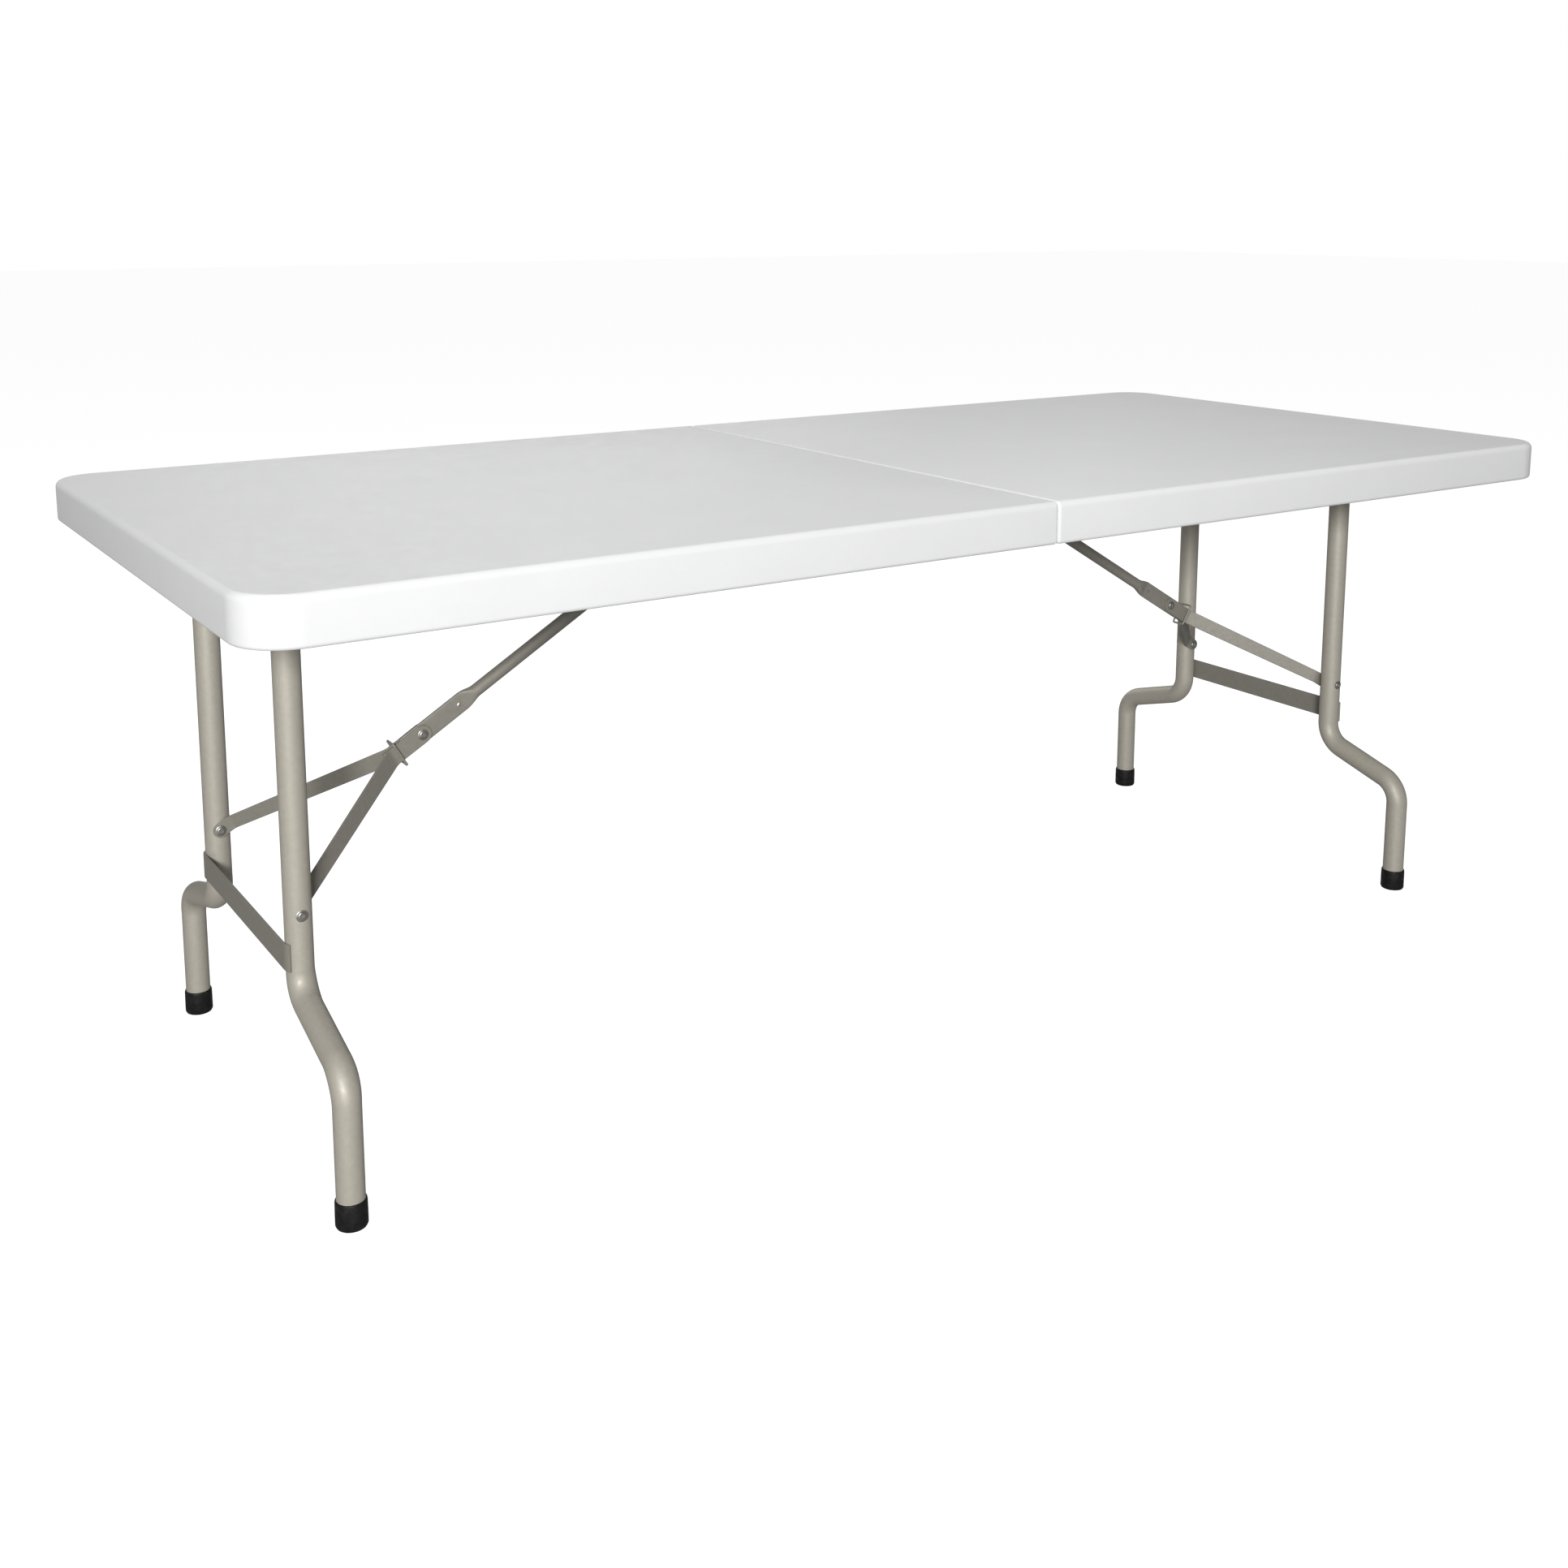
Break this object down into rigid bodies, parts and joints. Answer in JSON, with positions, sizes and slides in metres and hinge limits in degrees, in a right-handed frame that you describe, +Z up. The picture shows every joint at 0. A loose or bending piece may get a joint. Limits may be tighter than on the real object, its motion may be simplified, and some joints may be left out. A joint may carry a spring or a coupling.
{
  "type": "folding_table",
  "caption": "Fold-in-half moulded plastic table with folding wishbone steel legs, knuckle braces, sliding lock rings and a carrying handle",
  "frame": {"origin": "On the floor under the middle of the opened top.", "axes": "+X along the table's length towards the right half, +Y across the width towards the side with the carrying handle, +Z up."},
  "size_m": [2, 0.9, 0.74],
  "materials": {
    "top_plastic": "blow-moulded polyethylene, fine pebbled texture, satin",
    "frame_paint": "warm grey hammered powder coat on steel tube",
    "zinc": "zinc-plated steel",
    "foot_rubber": "black moulded cap",
    "handle_plastic": "pale grey moulded plastic"
  },
  "bodies": {
    "left_half": {"top_left": "top_plastic", "rail_front_left": "frame_paint", "rail_back_left": "frame_paint", "rail_screws_left": "zinc", "hinge_clevis_front": "zinc", "hinge_clevis_back": "zinc", "hinge_pin_front": "zinc", "hinge_pin_back": "zinc", "hinge_rivets_left": "zinc", "strut_bracket_left": "zinc", "strut_pin_left": "zinc", "bracket_screws_left": "zinc", "handle_pins": "zinc", "latch_screw": "zinc"},
    "right_half": {"top_right": "top_plastic", "rail_front_right": "frame_paint", "rail_back_right": "frame_paint", "rail_screws_right": "zinc", "hinge_tongue_front": "zinc", "hinge_tongue_back": "zinc", "hinge_rivets_right": "zinc", "strut_bracket_right": "zinc", "strut_pin_right": "zinc", "bracket_screws_right": "zinc", "latch_keeper": "zinc"},
    "left_legs": {"pivot_tube_left": "frame_paint", "pivot_caps_left": "foot_rubber", "leg_front_left": "frame_paint", "leg_back_left": "frame_paint", "cross_strap_left": "frame_paint", "foot_front_left": "foot_rubber", "foot_back_left": "foot_rubber", "leg_rivets_left": "zinc"},
    "right_legs": {"pivot_tube_right": "frame_paint", "pivot_caps_right": "foot_rubber", "leg_front_right": "frame_paint", "leg_back_right": "frame_paint", "cross_strap_right": "frame_paint", "foot_front_right": "foot_rubber", "foot_back_right": "foot_rubber", "leg_rivets_right": "zinc"},
    "left_strut": {"strut_left": "frame_paint", "knuckle_rivet_left": "zinc"},
    "right_strut": {"strut_right": "frame_paint", "knuckle_rivet_right": "zinc"},
    "left_yoke": {"yoke_front_left": "frame_paint", "yoke_back_left": "frame_paint", "yoke_rivets_left": "zinc"},
    "right_yoke": {"yoke_front_right": "frame_paint", "yoke_back_right": "frame_paint", "yoke_rivets_right": "zinc"},
    "left_ring": {"lock_ring_left": "frame_paint"},
    "right_ring": {"lock_ring_right": "frame_paint"},
    "handle": {"carry_handle": "handle_plastic"},
    "latch": {"latch_hook": "zinc"}
  },
  "joints": [
    {"name": "centre_fold", "type": "hinge", "parent": "left_half", "child": "right_half", "pos_m": [0, 0, 0.6855], "axis": [0, 1, 0], "range_deg": [0, 95]},
    {"name": "leg_fold_left", "type": "hinge", "parent": "left_half", "child": "left_legs", "pos_m": [-0.875, 0, 0.706], "axis": [0, -1, 0], "range_deg": [0, 90]},
    {"name": "strut_swing_left", "type": "hinge", "parent": "left_half", "child": "left_strut", "pos_m": [-0.212, 0, 0.706], "axis": [0, 1, 0], "range_deg": [0, 30.85]},
    {"name": "knuckle_left", "type": "hinge", "parent": "left_strut", "child": "left_yoke", "pos_m": [-0.65811, 0, 0.43954], "axis": [0, -1, 0], "range_deg": [0, 180]},
    {"name": "lock_ring_slide_left", "type": "slide", "parent": "left_strut", "child": "left_ring", "axis": [0.8585, 0, 0.5128], "range_m": [0, 0.4]},
    {"name": "leg_fold_right", "type": "hinge", "parent": "right_half", "child": "right_legs", "pos_m": [0.875, 0, 0.706], "axis": [0, 1, 0], "range_deg": [0, 90]},
    {"name": "strut_swing_right", "type": "hinge", "parent": "right_half", "child": "right_strut", "pos_m": [0.212, 0, 0.706], "axis": [0, -1, 0], "range_deg": [0, 30.85]},
    {"name": "knuckle_right", "type": "hinge", "parent": "right_strut", "child": "right_yoke", "pos_m": [0.65811, 0, 0.43954], "axis": [0, 1, 0], "range_deg": [0, 180]},
    {"name": "lock_ring_slide_right", "type": "slide", "parent": "right_strut", "child": "right_ring", "axis": [-0.8585, 0, 0.5128], "range_m": [0, 0.4]},
    {"name": "handle_swing", "type": "hinge", "parent": "left_half", "child": "handle", "pos_m": [-0.5, 0.441, 0.713], "axis": [1, 0, 0], "range_deg": [0, 90]},
    {"name": "latch_turn", "type": "hinge", "parent": "left_half", "child": "latch", "pos_m": [-0.905, 0.422, 0.7], "axis": [0, 1, 0], "range_deg": [0, 90]}
  ],
  "couplings": [
    {"joint": "strut_swing_left", "follows": "leg_fold_left", "ratio": 0.34277},
    {"joint": "knuckle_left", "follows": "leg_fold_left", "ratio": 2},
    {"joint": "lock_ring_slide_left", "follows": "leg_fold_left", "m_per_rad": 0.25465},
    {"joint": "strut_swing_right", "follows": "leg_fold_right", "ratio": 0.34277},
    {"joint": "knuckle_right", "follows": "leg_fold_right", "ratio": 2},
    {"joint": "lock_ring_slide_right", "follows": "leg_fold_right", "m_per_rad": 0.25465}
  ]
}
